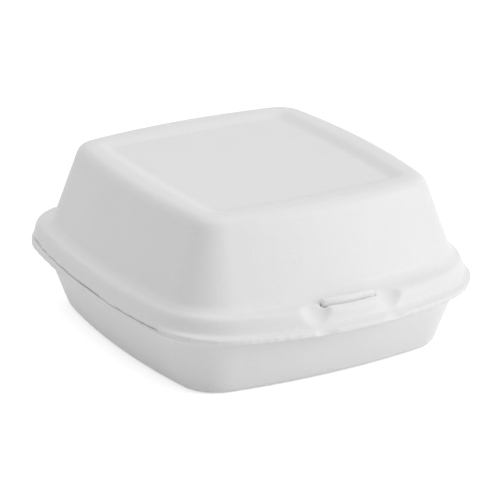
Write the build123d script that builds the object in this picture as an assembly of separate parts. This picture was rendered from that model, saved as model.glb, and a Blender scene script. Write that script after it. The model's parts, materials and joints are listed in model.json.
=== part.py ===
from build123d import *
import math
import os

# ---- overall sizes -------------------------------------------------------
rim_width = 150.0            # across the closed rim, side to side
rim_front = 84.0             # centre to the front edge of the lid skirt
rim_back = 78.5              # centre to the hinge edge
height = 71.0                # closed height
sheet = 2.2                  # foam sheet thickness

# ---- tray ----------------------------------------------------------------
floor_half_x = 61.0          # tray floor, half width
floor_half_y = 65.0          # tray floor, half depth
floor_corner = 17.0          # plan radius of the floor corners
tray_draft = 20.5            # wall angle from upright, degrees
tray_ledge_z = 26.0          # underside of the tray rim
tray_foot_radius = 4.0       # rounding where wall meets floor
upstand_height = 8.0         # tray wall standing above the ledge
ledge_setback = 2.0          # tray ledge behind the lid skirt at the front
flare_height = 2.0           # splay under the ledge
flare_angle = 55.0

# ---- lid -----------------------------------------------------------------
dome_half_x = 68.5           # dome at the shelf, half width
dome_half_y = 72.5           # dome at the shelf, half depth
dome_corner = 24.0           # plan radius of the dome corners at the shelf
dome_draft = 20.0
shelf_z = 36.8               # top of the lid shelf
skirt_draft = 15.0
crown_radius = 5.0           # rounding round the crown
shelf_radius = 2.4           # rounding of the shelf edge
foot_size = 1.6              # splay where the dome meets the shelf
panel_half_x = 46.7          # sunk top panel, half width at its upper edge
panel_half_y = 50.9
panel_corner = 7.0
panel_depth = 1.8
panel_slope_run = 5.2        # plan width of the sloping panel border
lip_reach = 3.5              # how far the front lip stands out
lip_end_y = -52.0            # where the lip runs out at the front corners

# ---- outline arcs --------------------------------------------------------
body_side_arc = 330.0
body_end_arc = 280.0
rim_side_arc_front = 320.0
rim_side_arc_back = 350.0
rim_front_arc = 150.0
rim_back_arc = 4000.0
rim_front_corner = 38.0
rim_back_corner = 26.0

# ---- parting and hinge ---------------------------------------------------
part_back_z = 30.2           # parting height at the hinge
part_front_z = 27.6          # parting height at the front
part_clearance = 0.15        # daylight between lid edge and tray rim
nest_clearance = 0.5         # lid over tray upstand and round the tongue

# ---- latch ---------------------------------------------------------------
scoop_x = 16.8               # centre of each finger scoop
scoop_radius = 8.3
scoop_low_z = 29.6           # scoop floor at the front edge
scoop_tilt = 38.0            # rise of the scoop floor towards the dome
tongue_half_x = 11.8
tongue_front = 79.3          # centre to the face of the tongue
tongue_depth = 3.8
tongue_top = 38.8
tongue_tip = 2.4             # height of the wide tip
tongue_round = 1.0

# ---- values that follow --------------------------------------------------
tray_grow = math.tan(math.radians(tray_draft))
dome_grow = math.tan(math.radians(dome_draft))
tray_wall = sheet / math.cos(math.radians(tray_draft))
dome_wall = sheet / math.cos(math.radians(dome_draft))
part_slope = math.degrees(math.atan2(part_back_z - part_front_z, rim_front + rim_back))
upstand_top = tray_ledge_z + upstand_height

floor_plan = (floor_half_x, floor_half_y, body_side_arc, body_end_arc, floor_corner)
dome_plan = (dome_half_x, dome_half_y, body_side_arc, body_end_arc, dome_corner)
panel_plan = (panel_half_x, panel_half_y, body_side_arc * 2, body_end_arc * 2, panel_corner)
rim_half = rim_width / 2
rim_plan_front = (rim_half, rim_front, rim_side_arc_front, rim_front_arc, rim_front_corner)
rim_plan_back = (rim_half, rim_back, rim_side_arc_back, rim_back_arc, rim_back_corner)


def corner_centre(hx, hy, side_arc, end_arc, r):
    """Centre of the corner circle that runs smoothly into both long arcs."""
    ax = hx - side_arc
    by = hy - end_arc
    a = side_arc - r
    b = end_arc - r
    d = math.hypot(ax, by)
    s = (a * a - b * b + d * d) / (2 * d)
    h = math.sqrt(a * a - s * s)
    ux = -ax / d
    uy = by / d
    return max((ax + s * ux - h * uy, s * uy + h * ux), (ax + s * ux + h * uy, s * uy - h * ux))


def half_outline(size, off, sign):
    """Five arcs round one half of an outline, the half at y >= 0 or y <= 0."""
    hx, hy, side_arc, end_arc, r = (value + off for value in size)
    px, py = corner_centre(hx, hy, side_arc, end_arc, r)
    cx = hx - side_arc
    cy = hy - end_arc
    t1 = math.atan2(py, px - cx)
    t2 = math.atan2(py - cy, px)
    tm = (t1 + t2) / 2
    points = [
        (hx, 0.0),
        (cx + side_arc * math.cos(t1 / 2), side_arc * math.sin(t1 / 2)),
        (cx + side_arc * math.cos(t1), side_arc * math.sin(t1)),
        (px + r * math.cos(tm), py + r * math.sin(tm)),
        (px + r * math.cos(t2), py + r * math.sin(t2)),
        (0.0, hy),
    ]
    a, b, c, d, e, f = [(x, sign * y) for x, y in points]
    ma, mb, mc, md, me = [(-x, y) for x, y in (a, b, c, d, e)]
    return [
        ThreePointArc(a, b, c),
        ThreePointArc(c, d, e),
        ThreePointArc(e, f, me),
        ThreePointArc(me, md, mc),
        ThreePointArc(mc, mb, ma),
    ]


def outline(front, back, off, z):
    """Flat face of an outline grown by off, lying at height z."""
    face = Face(Wire(half_outline(front, off, -1) + half_outline(back, off, 1)))
    return Plane.XY.offset(z) * face


def prism(front, back, off, z0, z1, draft=0.0):
    """Solid between two heights; a positive draft leans the walls inwards."""
    return extrude(outline(front, back, off, z0), z1 - z0, dir=(0, 0, 1), taper=draft)


def block(x0, x1, y0, y1, z0, z1):
    """Box between two corners."""
    box = Box(x1 - x0, y1 - y0, z1 - z0)
    return Pos((x0 + x1) / 2, (y0 + y1) / 2, (z0 + z1) / 2) * box


def above_parting(lift):
    """Everything above the sloping parting plane, raised by lift."""
    big = Pos(0, 0, 100) * Box(400, 400, 200)
    return Pos(0, rim_back, part_back_z + lift) * Rot(part_slope, 0, 0) * big


def scoops(grow):
    """The two tilted cylinders that hollow the shelf beside the tongue."""
    pair = None
    for side in (-1, 1):
        axis_z = scoop_low_z + scoop_radius / math.cos(math.radians(scoop_tilt))
        drum = Rot(scoop_tilt - 90, 0, 0) * Cylinder(scoop_radius + grow, 90)
        drum = Pos(side * scoop_x, -rim_front, axis_z) * drum
        pair = drum if pair is None else pair + drum
    return pair


def tongue_face(grow, z):
    """Lens-shaped plan of the latch tongue, grown by a clearance."""
    half = tongue_half_x + grow
    front = -tongue_front - grow
    back = -tongue_front + tongue_depth + grow
    bow = 0.4 * tongue_depth
    edges = [
        ThreePointArc((-half, front + bow), (0, front), (half, front + bow)),
        Line((half, front + bow), (half, back)),
        Line((half, back), (-half, back)),
        Line((-half, back), (-half, front + bow)),
    ]
    return Plane.XY.offset(z) * Face(Wire(edges))


def make_tongue():
    """Column through the lid slot, a wide rounded tip, and a root to the wall."""
    tip_z = tongue_top - tongue_tip
    tip = extrude(tongue_face(0, tip_z), tongue_tip, dir=(0, 0, 1))
    tip = fillet(tip.edges().group_by(Axis.Z)[-1], tongue_round)
    column = extrude(tongue_face(0, tray_ledge_z), tip_z - tray_ledge_z, dir=(0, 0, 1))
    column -= scoops(0)
    root_back = -floor_half_y - tray_ledge_z * tray_grow + sheet / 2
    root_half = tongue_half_x - 3
    root = block(-root_half, root_half, 1 - tongue_front, root_back, tray_ledge_z, upstand_top)
    return tip + column + (root - scoops(sheet + nest_clearance))


def make_tray():
    ledge_off = tray_ledge_z * tray_grow
    outer = prism(floor_plan, floor_plan, 0, 0, tray_ledge_z, -tray_draft)
    outer = fillet(outer.edges().group_by(Axis.Z)[0], tray_foot_radius)
    upstand = prism(floor_plan, floor_plan, ledge_off, tray_ledge_z, upstand_top)
    base = prism(floor_plan, floor_plan, ledge_off, tray_ledge_z, part_front_z - part_clearance)
    outer += base + (upstand & flange_hollow(nest_clearance))
    flare_z = tray_ledge_z - flare_height
    outer += prism(floor_plan, floor_plan, flare_z * tray_grow, flare_z, tray_ledge_z, -flare_angle)
    ledge_front = (rim_half, rim_front - ledge_setback) + rim_plan_front[2:]
    ledge = prism(ledge_front, rim_plan_back, 0, tray_ledge_z, part_back_z + 1)
    outer += ledge - above_parting(-part_clearance)
    outer -= scoops(sheet + nest_clearance)

    cavity_off = sheet * tray_grow - tray_wall
    cavity = prism(floor_plan, floor_plan, cavity_off, sheet, tray_ledge_z, -tray_draft)
    cavity = fillet(cavity.edges().group_by(Axis.Z)[0], tray_foot_radius - 0.5)
    cavity += prism(floor_plan, floor_plan, ledge_off - tray_wall, tray_ledge_z, upstand_top + 1)
    return outer + make_tongue() - cavity


def panel_sink(off, z):
    """Shallow dish that sinks the top panel, its upper edge at height z."""
    lean = math.degrees(math.atan2(panel_slope_run, panel_depth))
    return extrude(outline(panel_plan, panel_plan, off, z), panel_depth, dir=(0, 0, -1), taper=lean)


def make_lid_outside():
    low = part_front_z - 1
    low_off = math.tan(math.radians(skirt_draft))
    dome = prism(dome_plan, dome_plan, 0, shelf_z, height, dome_draft)
    dome = fillet(dome.edges().group_by(Axis.Z)[-1], crown_radius)
    dome -= panel_sink(0, height)
    dome += prism(dome_plan, dome_plan, 2 * foot_size, shelf_z - foot_size, shelf_z + foot_size, 45)
    flange = prism(rim_plan_front, rim_plan_back, low_off, low, shelf_z, skirt_draft)
    flange = fillet(flange.edges().group_by(Axis.Z)[-1], shelf_radius)
    lip = prism(rim_plan_front, rim_plan_back, 0, low, part_front_z + sheet)
    lip = Pos(0, -lip_reach, 0) * lip
    lip &= block(-rim_width, rim_width, -rim_width, lip_end_y, 0, height)
    return flange + lip - scoops(0) + dome


def flange_hollow(gap):
    """Space under the lid shelf, shrunk all round by a gap."""
    low = part_front_z - 1
    wall = (sheet + gap) / math.cos(math.radians(skirt_draft))
    off = math.tan(math.radians(skirt_draft)) - wall
    return prism(rim_plan_front, rim_plan_back, off, low, shelf_z - sheet - gap, skirt_draft)


def make_lid_inside():
    drop_off = sheet * dome_grow - dome_wall
    room = prism(dome_plan, dome_plan, drop_off, shelf_z - sheet, height - sheet, dome_draft)
    room = fillet(room.edges().group_by(Axis.Z)[-1], crown_radius - sheet)
    lean = math.atan2(panel_depth, panel_slope_run)
    grow = sheet * (1 / math.cos(lean) - 1) / math.tan(lean)
    room -= panel_sink(grow, height - sheet)
    return flange_hollow(0) - scoops(sheet) + room


def make_lid():
    lid = make_lid_outside() - make_lid_inside()
    lid &= above_parting(0)
    return lid - extrude(tongue_face(nest_clearance, 0), height, dir=(0, 0, 1))


centre_shift = (rim_front + lip_reach - rim_back) / 2

os.makedirs("parts", exist_ok=True)
tray = Pos(0, centre_shift, 0) * make_tray()
lid = Pos(0, centre_shift, 0) * make_lid()
export_step(tray, "parts/base_tray.step")
export_step(lid, "parts/lid.step")
print("tray", tray.volume, tray.is_valid, len(tray.solids()))
print("lid", lid.volume, lid.is_valid, len(lid.solids()))
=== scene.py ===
import json
import math

import bpy
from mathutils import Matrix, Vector


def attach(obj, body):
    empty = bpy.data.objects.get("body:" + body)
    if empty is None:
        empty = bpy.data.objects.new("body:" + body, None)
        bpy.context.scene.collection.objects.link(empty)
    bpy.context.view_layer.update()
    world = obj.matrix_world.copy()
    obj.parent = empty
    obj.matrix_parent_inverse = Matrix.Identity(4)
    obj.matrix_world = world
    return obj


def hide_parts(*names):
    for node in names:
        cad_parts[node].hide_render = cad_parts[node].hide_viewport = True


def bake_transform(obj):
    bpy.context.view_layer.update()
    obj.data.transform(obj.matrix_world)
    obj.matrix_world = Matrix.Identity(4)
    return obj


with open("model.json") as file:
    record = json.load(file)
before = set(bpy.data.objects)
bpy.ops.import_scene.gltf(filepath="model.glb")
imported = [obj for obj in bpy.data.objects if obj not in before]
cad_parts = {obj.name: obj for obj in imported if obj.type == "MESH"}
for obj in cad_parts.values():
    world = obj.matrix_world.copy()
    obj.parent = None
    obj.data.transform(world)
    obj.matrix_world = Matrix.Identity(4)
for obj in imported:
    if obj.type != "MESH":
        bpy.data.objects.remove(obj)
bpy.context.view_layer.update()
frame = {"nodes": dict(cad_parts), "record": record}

bl_info = {
    "name": "Foam Clamshell Container",
    "version": (1, 0, 0),
    "blender": (4, 5, 0),
    "location": "View3D > Sidebar > Container",
    "description": "Foam skin, hinge strip and studio stage for a hinged food container",
    "category": "Object",
}

MM = 0.001
FLOOR_SIZE = 8.0
FLOOR_DROP = 0.05 * MM
FLOOR_GLOW = 0.55
KEY_LAMP = {"place": (0.85, -1.0, 0.5), "size": 0.55, "power": 7.0}
TOP_LAMP = {"place": (-0.15, 0.2, 1.25), "size": 0.7, "power": 3.6}
WELD_GAP = 0.01 * MM
STRIP_INSET = 0.45 * MM
STRIP_SAG = 0.5 * MM
STRIP_ROUND = 0.25 * MM
HINGE = next(j for j in frame["record"]["behaviour"]["joints"] if j["name"] == "lid_hinge")


class FoamFinish(bpy.types.PropertyGroup):
    """Colour and skin of the expanded foam."""

    colour: bpy.props.FloatVectorProperty(
        name="Foam colour", description="Base colour of the foam", subtype="COLOR",
        size=3, min=0.0, max=1.0, default=(0.86, 0.86, 0.862))
    roughness: bpy.props.FloatProperty(
        name="Roughness", description="Mean roughness of the skin", default=0.46, min=0.0, max=1.0)
    cell_size: bpy.props.FloatProperty(
        name="Cell size", description="Width of the foam cells that show in the skin",
        default=0.9 * MM, unit="LENGTH")
    cell_depth: bpy.props.FloatProperty(
        name="Cell depth", description="Relief of the foam cells", default=0.02 * MM, unit="LENGTH")
    ripple_size: bpy.props.FloatProperty(
        name="Ripple size", description="Width of the slow waves left by forming",
        default=16 * MM, unit="LENGTH")
    ripple_depth: bpy.props.FloatProperty(
        name="Ripple depth", description="Relief of the slow waves", default=0.12 * MM, unit="LENGTH")


class FoamShape(bpy.types.PropertyGroup):
    """Sizes of the softened skins and of the hinge strip."""

    grain: bpy.props.FloatProperty(
        name="Mesh grain", description="Edge length of the even skin mesh",
        default=0.96 * MM, unit="LENGTH")
    soften_steps: bpy.props.IntProperty(
        name="Soften steps", description="How far moulded edges are rounded over", default=2)
    strip_length: bpy.props.FloatProperty(
        name="Strip length", description="Length of the creased hinge along the back",
        default=104 * MM, unit="LENGTH")
    strip_height: bpy.props.FloatProperty(
        name="Strip height", description="Height of the creased hinge across the parting line",
        default=5.0 * MM, unit="LENGTH")
    strip_thickness: bpy.props.FloatProperty(
        name="Strip thickness", description="Thickness of the pressed foam at the crease",
        default=0.8 * MM, unit="LENGTH")


class FoamStage(bpy.types.PropertyGroup):
    """Camera, lamps and floor."""

    azimuth: bpy.props.FloatProperty(
        name="Azimuth", description="Camera direction round the container",
        subtype="ANGLE", default=math.radians(-30.0))
    elevation: bpy.props.FloatProperty(
        name="Elevation", description="Camera height angle", subtype="ANGLE",
        default=math.radians(20.8))
    distance: bpy.props.FloatProperty(
        name="Distance", description="Camera distance from its target", default=1.2, unit="LENGTH")
    lens: bpy.props.FloatProperty(
        name="Lens", description="Focal length in millimetres", default=211.0)
    target: bpy.props.FloatVectorProperty(
        name="Target", description="Point that the camera looks at", subtype="TRANSLATION",
        default=(-0.5 * MM, 2.9 * MM, 32.1 * MM))
    fill: bpy.props.FloatProperty(
        name="Fill", description="Strength of the even light from all round", default=0.5)
    floor_colour: bpy.props.FloatVectorProperty(
        name="Floor colour", description="Colour of the pale floor", subtype="COLOR",
        size=3, min=0.0, max=1.0, default=(0.9, 0.9, 0.9))


def node_input(node, name, value):
    """Sets one unlinked socket of a shader node."""
    node.inputs[name].default_value = value
    return node


def foam_material(name, finish, seed):
    """White expanded foam: cell relief, forming waves, faint tone and gloss variation."""
    material = bpy.data.materials.new(name)
    material.use_nodes = True
    tree = material.node_tree
    new, link = tree.nodes.new, tree.links.new
    skin = tree.nodes["Principled BSDF"]
    node_input(skin, "Specular IOR Level", 0.4)
    node_input(skin, "Subsurface Weight", 0.12)
    node_input(skin, "Subsurface Scale", 1.5 * MM)
    node_input(skin, "Subsurface Radius", (1.0, 0.95, 0.9))
    place = new("ShaderNodeTexCoord")
    shift = new("ShaderNodeMapping")
    node_input(shift, "Location", (seed, seed * 0.37, seed * 0.61))
    link(place.outputs["Object"], shift.inputs["Vector"])

    def texture(kind, scale, **inputs):
        node = new(kind)
        node_input(node, "Scale", scale)
        for key, value in inputs.items():
            node_input(node, key, value)
        link(shift.outputs["Vector"], node.inputs["Vector"])
        return node

    cells = texture("ShaderNodeTexVoronoi", 1 / finish.cell_size)
    cells.feature = "SMOOTH_F1"
    pores = texture("ShaderNodeTexNoise", 4 / finish.cell_size, Detail=3.0)
    waves = texture("ShaderNodeTexNoise", 1 / finish.ripple_size, Detail=2.0)
    cloud = texture("ShaderNodeTexNoise", 0.4 / finish.ripple_size, Detail=3.0)

    tone = new("ShaderNodeMix")
    tone.data_type = "RGBA"
    base = tuple(finish.colour)
    tone.inputs["A"].default_value = (*[c * 0.975 for c in base], 1.0)
    tone.inputs["B"].default_value = (*[min(1.0, c * 1.02) for c in base], 1.0)
    link(cloud.outputs["Fac"], tone.inputs["Factor"])
    speckle = new("ShaderNodeMix")
    speckle.data_type = "RGBA"
    speckle.blend_type = "MULTIPLY"
    node_input(speckle, "Factor", 0.035)
    link(tone.outputs["Result"], speckle.inputs["A"])
    link(cells.outputs["Distance"], speckle.inputs["B"])
    link(speckle.outputs["Result"], skin.inputs["Base Color"])

    gloss = new("ShaderNodeMapRange")
    node_input(gloss, "To Min", finish.roughness - 0.08)
    node_input(gloss, "To Max", finish.roughness + 0.1)
    link(pores.outputs["Fac"], gloss.inputs["Value"])
    link(gloss.outputs["Result"], skin.inputs["Roughness"])

    relief = None
    for source, socket, depth in (
        (waves, "Fac", finish.ripple_depth),
        (cells, "Distance", finish.cell_depth),
        (pores, "Fac", finish.cell_depth * 0.5),
    ):
        bump = new("ShaderNodeBump")
        node_input(bump, "Distance", depth)
        link(source.outputs[socket], bump.inputs["Height"])
        if relief:
            link(relief.outputs["Normal"], bump.inputs["Normal"])
        relief = bump
    link(relief.outputs["Normal"], skin.inputs["Normal"])
    return material


def select_only(piece):
    """Makes one object the only selected and active one."""
    bpy.ops.object.select_all(action="DESELECT")
    piece.select_set(True)
    bpy.context.view_layer.objects.active = piece


def apply_modifier(piece, kind, **settings):
    """Adds one modifier with its settings and applies it."""
    modifier = piece.modifiers.new(kind.title(), kind)
    for key, value in settings.items():
        setattr(modifier, key, value)
    select_only(piece)
    bpy.ops.object.modifier_apply(modifier=modifier.name)


def dress(piece, material):
    """Gives a piece its one material."""
    piece.data.materials.clear()
    piece.data.materials.append(material)


def soft_skin(node_name, piece_name, body, slot, seed, scene):
    """Moulded skin from a CAD node: merged, evenly meshed, its edges rounded over."""
    select_only(frame["nodes"][node_name])
    bpy.ops.object.duplicate()
    piece = bpy.context.view_layer.objects.active
    piece.name = piece.data.name = piece_name
    world = piece.matrix_world.copy()
    piece.parent = None
    piece.matrix_world = world
    for key in [k for k in piece.keys() if k.startswith("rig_")]:
        del piece[key]
    bpy.ops.object.transform_apply(location=True, rotation=True, scale=True)
    bpy.ops.object.mode_set(mode="EDIT")
    bpy.ops.mesh.select_all(action="SELECT")
    bpy.ops.mesh.remove_doubles(threshold=WELD_GAP)
    bpy.ops.object.mode_set(mode="OBJECT")
    shape = scene.foam_shape
    apply_modifier(piece, "REMESH", mode="VOXEL", voxel_size=shape.grain, use_smooth_shade=True)
    apply_modifier(piece, "SMOOTH", factor=0.5, iterations=shape.soften_steps)
    dress(piece, foam_material(slot, scene.foam_finish, seed))
    bpy.ops.object.shade_smooth()
    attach(piece, body)
    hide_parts(node_name)


class FOAM_OT_tray(bpy.types.Operator):
    """Build the tray skin with its upstand, ledge and latch tongue"""

    bl_idname = "foam.tray"
    bl_label = "Tray"

    def execute(self, context):
        soft_skin("base_tray", "tray_skin", "tray", "foam_tray", 1.3, context.scene)
        return {"FINISHED"}


class FOAM_OT_lid(bpy.types.Operator):
    """Build the domed lid skin with its sunk panel, shelf, lip and scoops"""

    bl_idname = "foam.lid"
    bl_label = "Lid"

    def execute(self, context):
        soft_skin("lid", "lid_skin", "cover", "foam_lid", 4.1, context.scene)
        return {"FINISHED"}


class FOAM_OT_hinge_strip(bpy.types.Operator):
    """Build the creased foam strip that joins lid and tray along the back"""

    bl_idname = "foam.hinge_strip"
    bl_label = "Hinge strip"

    def execute(self, context):
        shape = context.scene.foam_shape
        hinge = Vector(HINGE["pos_m"])
        bpy.ops.object.select_all(action="DESELECT")
        bpy.ops.mesh.primitive_grid_add(x_subdivisions=60, y_subdivisions=14, size=1.0)
        strip = bpy.context.view_layer.objects.active
        strip.name = strip.data.name = "hinge_strip"
        bpy.ops.object.mode_set(mode="EDIT")
        bpy.ops.mesh.select_all(action="SELECT")
        bpy.ops.transform.resize(value=(shape.strip_length, shape.strip_height, 1.0))
        bpy.ops.transform.rotate(
            value=math.radians(-90), orient_axis="X", center_override=(0.0, 0.0, 0.0))
        bpy.ops.transform.translate(value=(0.0, hinge.y - STRIP_INSET, hinge.z))
        bpy.ops.object.mode_set(mode="OBJECT")
        half = shape.strip_height / 2
        for vertex in strip.data.vertices:
            rise = (vertex.co.z - hinge.z) / half
            vertex.co.y -= STRIP_SAG * rise * rise
        apply_modifier(strip, "SOLIDIFY", thickness=shape.strip_thickness, offset=0.0)
        apply_modifier(strip, "BEVEL", width=STRIP_ROUND, segments=2)
        select_only(strip)
        bpy.ops.object.mode_set(mode="EDIT")
        bpy.ops.mesh.select_all(action="SELECT")
        bpy.ops.mesh.normals_make_consistent(inside=False)
        bpy.ops.object.mode_set(mode="OBJECT")
        bpy.ops.object.shade_smooth()
        dress(strip, foam_material("foam_hinge", context.scene.foam_finish, 2.6))
        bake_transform(strip)
        return {"FINISHED"}


def softbox(name, target, place, size, power):
    """Square area lamp aimed at a point."""
    data = bpy.data.lights.new(name, "AREA")
    data.size = size
    data.energy = power
    lamp = bpy.data.objects.new(name, data)
    bpy.context.scene.collection.objects.link(lamp)
    lamp.location = place
    lamp.rotation_euler = (target - Vector(place)).to_track_quat("-Z", "Y").to_euler()


def background_rays(tree):
    """Socket that is 1 for camera, glossy and transmission rays."""
    rays = tree.nodes.new("ShaderNodeLightPath")
    seen = None
    for ray in ("Is Camera Ray", "Is Glossy Ray", "Is Transmission Ray"):
        if seen is None:
            seen = rays.outputs[ray]
            continue
        either = tree.nodes.new("ShaderNodeMath")
        either.operation = "MAXIMUM"
        tree.links.new(seen, either.inputs[0])
        tree.links.new(rays.outputs[ray], either.inputs[1])
        seen = either.outputs[0]
    return seen


class FOAM_OT_stage(bpy.types.Operator):
    """Set up the pale floor, the soft lamps and the camera"""

    bl_idname = "foam.stage"
    bl_label = "Stage"

    def execute(self, context):
        scene = context.scene
        setup = scene.foam_stage
        target = Vector(setup.target)
        bpy.ops.object.select_all(action="DESELECT")
        bpy.ops.mesh.primitive_plane_add(size=FLOOR_SIZE, location=(0.0, 0.0, -FLOOR_DROP))
        floor = bpy.context.view_layer.objects.active
        floor.name = "floor"
        paint = bpy.data.materials.new("pale_floor")
        paint.use_nodes = True
        tree = paint.node_tree
        matt = tree.nodes["Principled BSDF"]
        node_input(matt, "Base Color", (*setup.floor_colour, 1.0))
        node_input(matt, "Roughness", 0.9)
        node_input(matt, "Specular IOR Level", 0.1)
        node_input(matt, "Emission Color", (1.0, 1.0, 1.0, 1.0))
        glow = tree.nodes.new("ShaderNodeMath")
        glow.operation = "MULTIPLY"
        glow.inputs[1].default_value = FLOOR_GLOW
        tree.links.new(background_rays(tree), glow.inputs[0])
        tree.links.new(glow.outputs[0], matt.inputs["Emission Strength"])
        floor.data.materials.append(paint)

        world = bpy.data.worlds.new("studio")
        scene.world = world
        world.use_nodes = True
        tree = world.node_tree
        sky = tree.nodes["Background"]
        node_input(sky, "Color", (1.0, 1.0, 1.0, 1.0))
        level = tree.nodes.new("ShaderNodeMapRange")
        node_input(level, "To Min", setup.fill)
        node_input(level, "To Max", 1.0)
        tree.links.new(background_rays(tree), level.inputs["Value"])
        tree.links.new(level.outputs["Result"], sky.inputs["Strength"])

        softbox("key_right", target, **KEY_LAMP)
        softbox("top", target, **TOP_LAMP)

        aim, lift = setup.azimuth, setup.elevation
        level_run = math.cos(lift)
        back = Vector((math.sin(aim) * level_run, -math.cos(aim) * level_run, math.sin(lift)))
        data = bpy.data.cameras.new("camera")
        data.lens = setup.lens
        data.sensor_width = 36.0
        data.clip_end = 50.0
        camera = bpy.data.objects.new("camera", data)
        scene.collection.objects.link(camera)
        camera.location = target + back * setup.distance
        camera.rotation_euler = (-back).to_track_quat("-Z", "Y").to_euler()
        scene.camera = camera
        scene.view_settings.view_transform = "Standard"
        return {"FINISHED"}


class FOAM_PT_container(bpy.types.Panel):
    """Lists the sizes, colours and build steps of the container"""

    bl_label = "Foam container"
    bl_idname = "FOAM_PT_container"
    bl_space_type = "VIEW_3D"
    bl_region_type = "UI"
    bl_category = "Container"

    def draw(self, context):
        for group in (context.scene.foam_finish, context.scene.foam_shape, context.scene.foam_stage):
            box = self.layout.box()
            for name in group.__annotations__:
                box.prop(group, name)
        for step in STEPS:
            self.layout.operator(step.bl_idname)


STEPS = (FOAM_OT_tray, FOAM_OT_lid, FOAM_OT_hinge_strip, FOAM_OT_stage)
GROUPS = {"foam_finish": FoamFinish, "foam_shape": FoamShape, "foam_stage": FoamStage}


def register():
    for name, group in GROUPS.items():
        bpy.utils.register_class(group)
        setattr(bpy.types.Scene, name, bpy.props.PointerProperty(type=group))
    for item in (*STEPS, FOAM_PT_container):
        bpy.utils.register_class(item)


def unregister():
    for item in (FOAM_PT_container, *reversed(STEPS)):
        bpy.utils.unregister_class(item)
    for name, group in GROUPS.items():
        delattr(bpy.types.Scene, name)
        bpy.utils.unregister_class(group)


def main():
    register()
    bpy.ops.foam.tray()
    bpy.ops.foam.lid()
    bpy.ops.foam.hinge_strip()
    bpy.ops.foam.stage()


if __name__ == "__main__":
    main()
